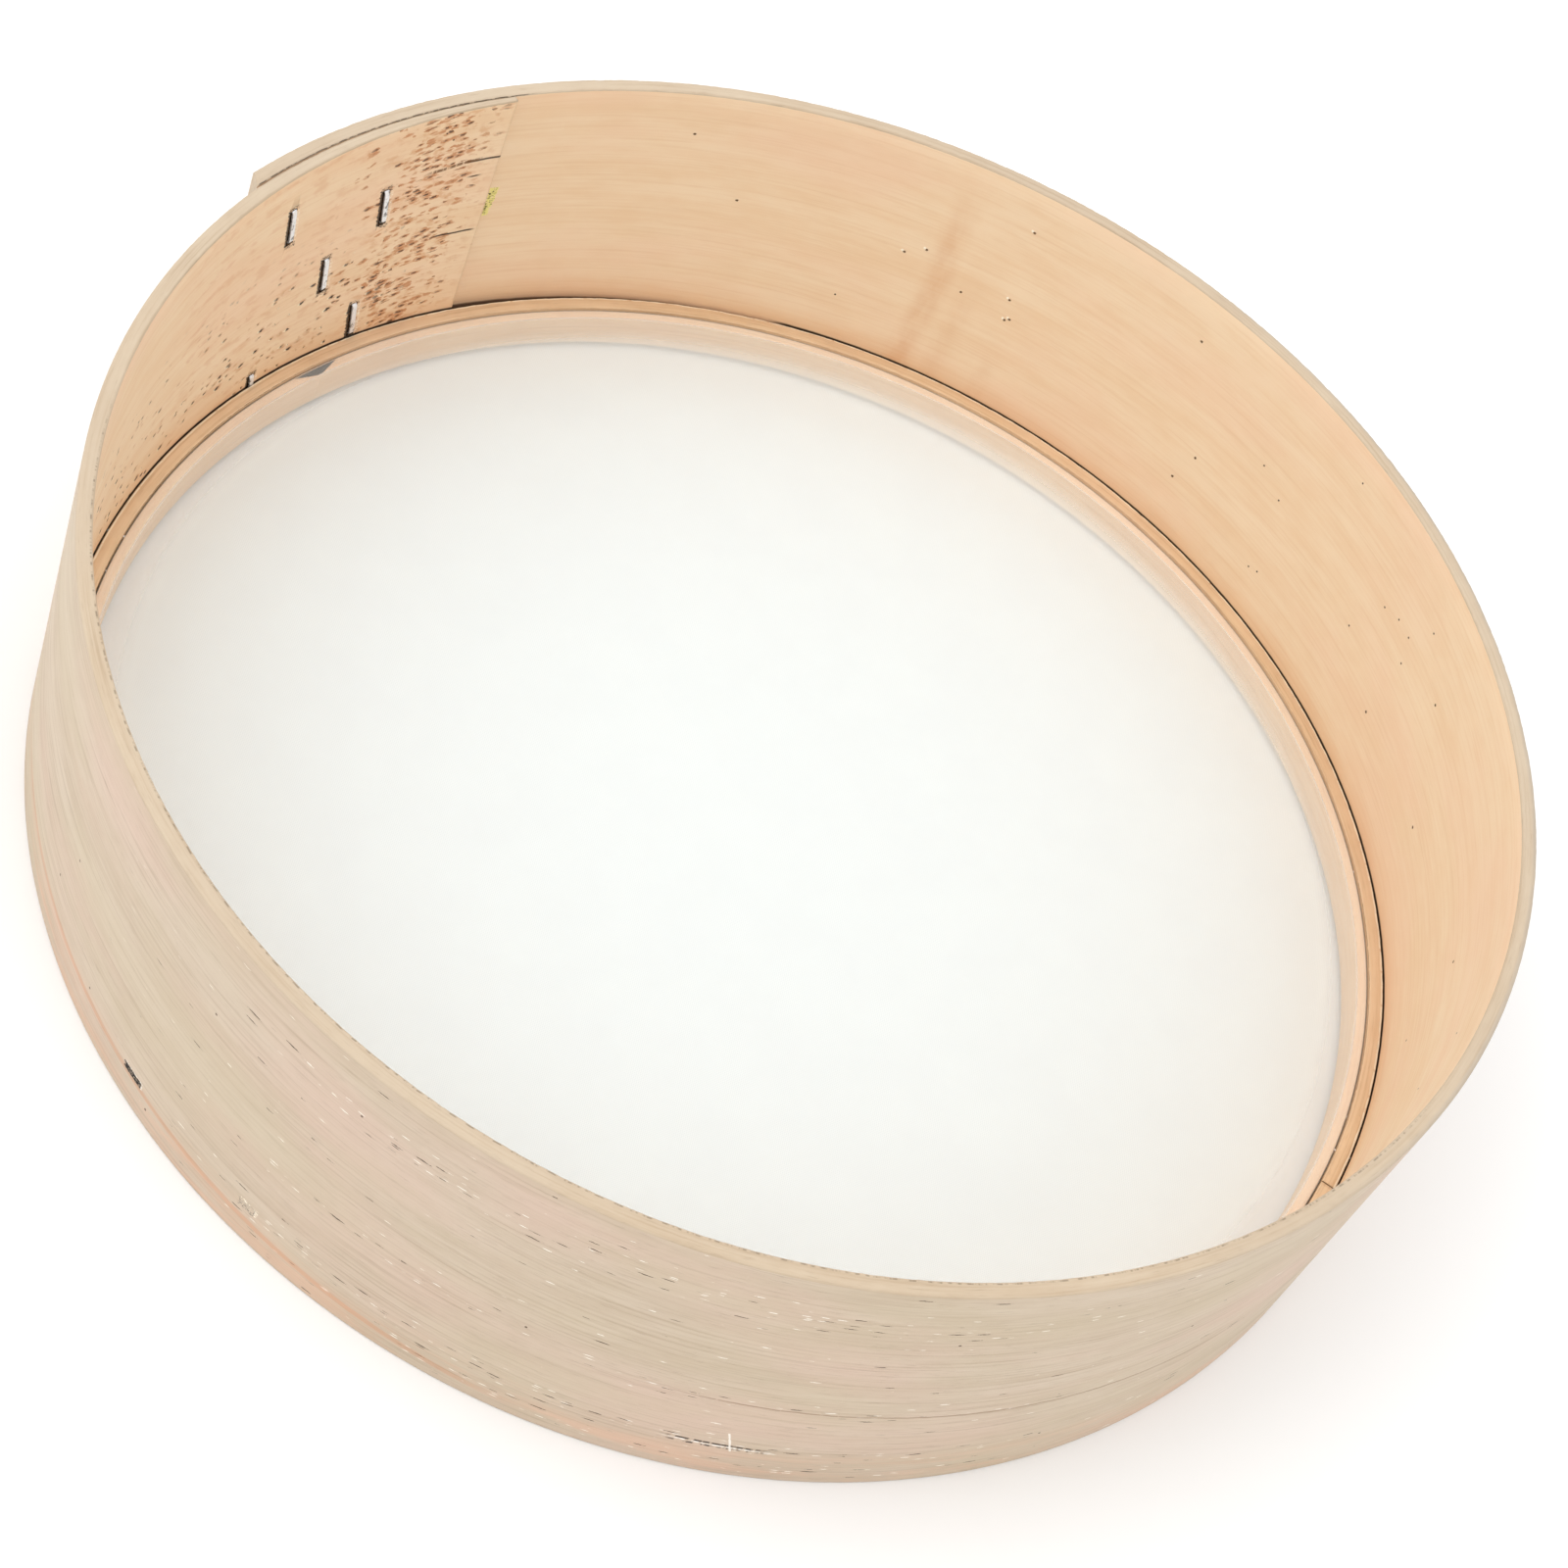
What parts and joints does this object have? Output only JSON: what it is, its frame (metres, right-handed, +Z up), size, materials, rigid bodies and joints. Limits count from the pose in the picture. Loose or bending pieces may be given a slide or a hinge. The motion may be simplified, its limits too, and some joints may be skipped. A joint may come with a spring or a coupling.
{
  "type": "tamis drum sieve",
  "caption": "Tamis drum sieve: a lapped and stapled bentwood hoop with a fine woven mesh held taut across its base, clamped between narrow inner rings of wood.",
  "frame": {"origin": "centre of the hoop's circle, on the surface that the base edge stands on", "axes": "+Z up out of the open drum, along its axis; +X any level direction, with the lap at about 130 to 157 degrees from it"},
  "size_m": [0.3, 0.3001, 0.075],
  "materials": {
    "hoop_wood": "bare sanded bentwood, matt, with fine level grain",
    "clamp_ring_wood": "bare wood strip, rough sawn top edge",
    "mesh_ring_wood": "bare pale wood strip, matt",
    "mesh": "very fine white woven nylon, taut and slightly see-through",
    "staple_steel": "flat galvanised wire"
  },
  "bodies": {
    "root": {"outer_hoop": "hoop_wood", "clamp_ring": "clamp_ring_wood", "mesh_ring": "mesh_ring_wood", "mesh_cloth": "mesh", "lap_staple_top": "staple_steel", "lap_staple_upper": "staple_steel", "lap_staple_middle": "staple_steel", "lap_staple_lower": "staple_steel", "lap_staple_foot": "staple_steel", "base_staples": "staple_steel"}
  },
  "joints": []
}
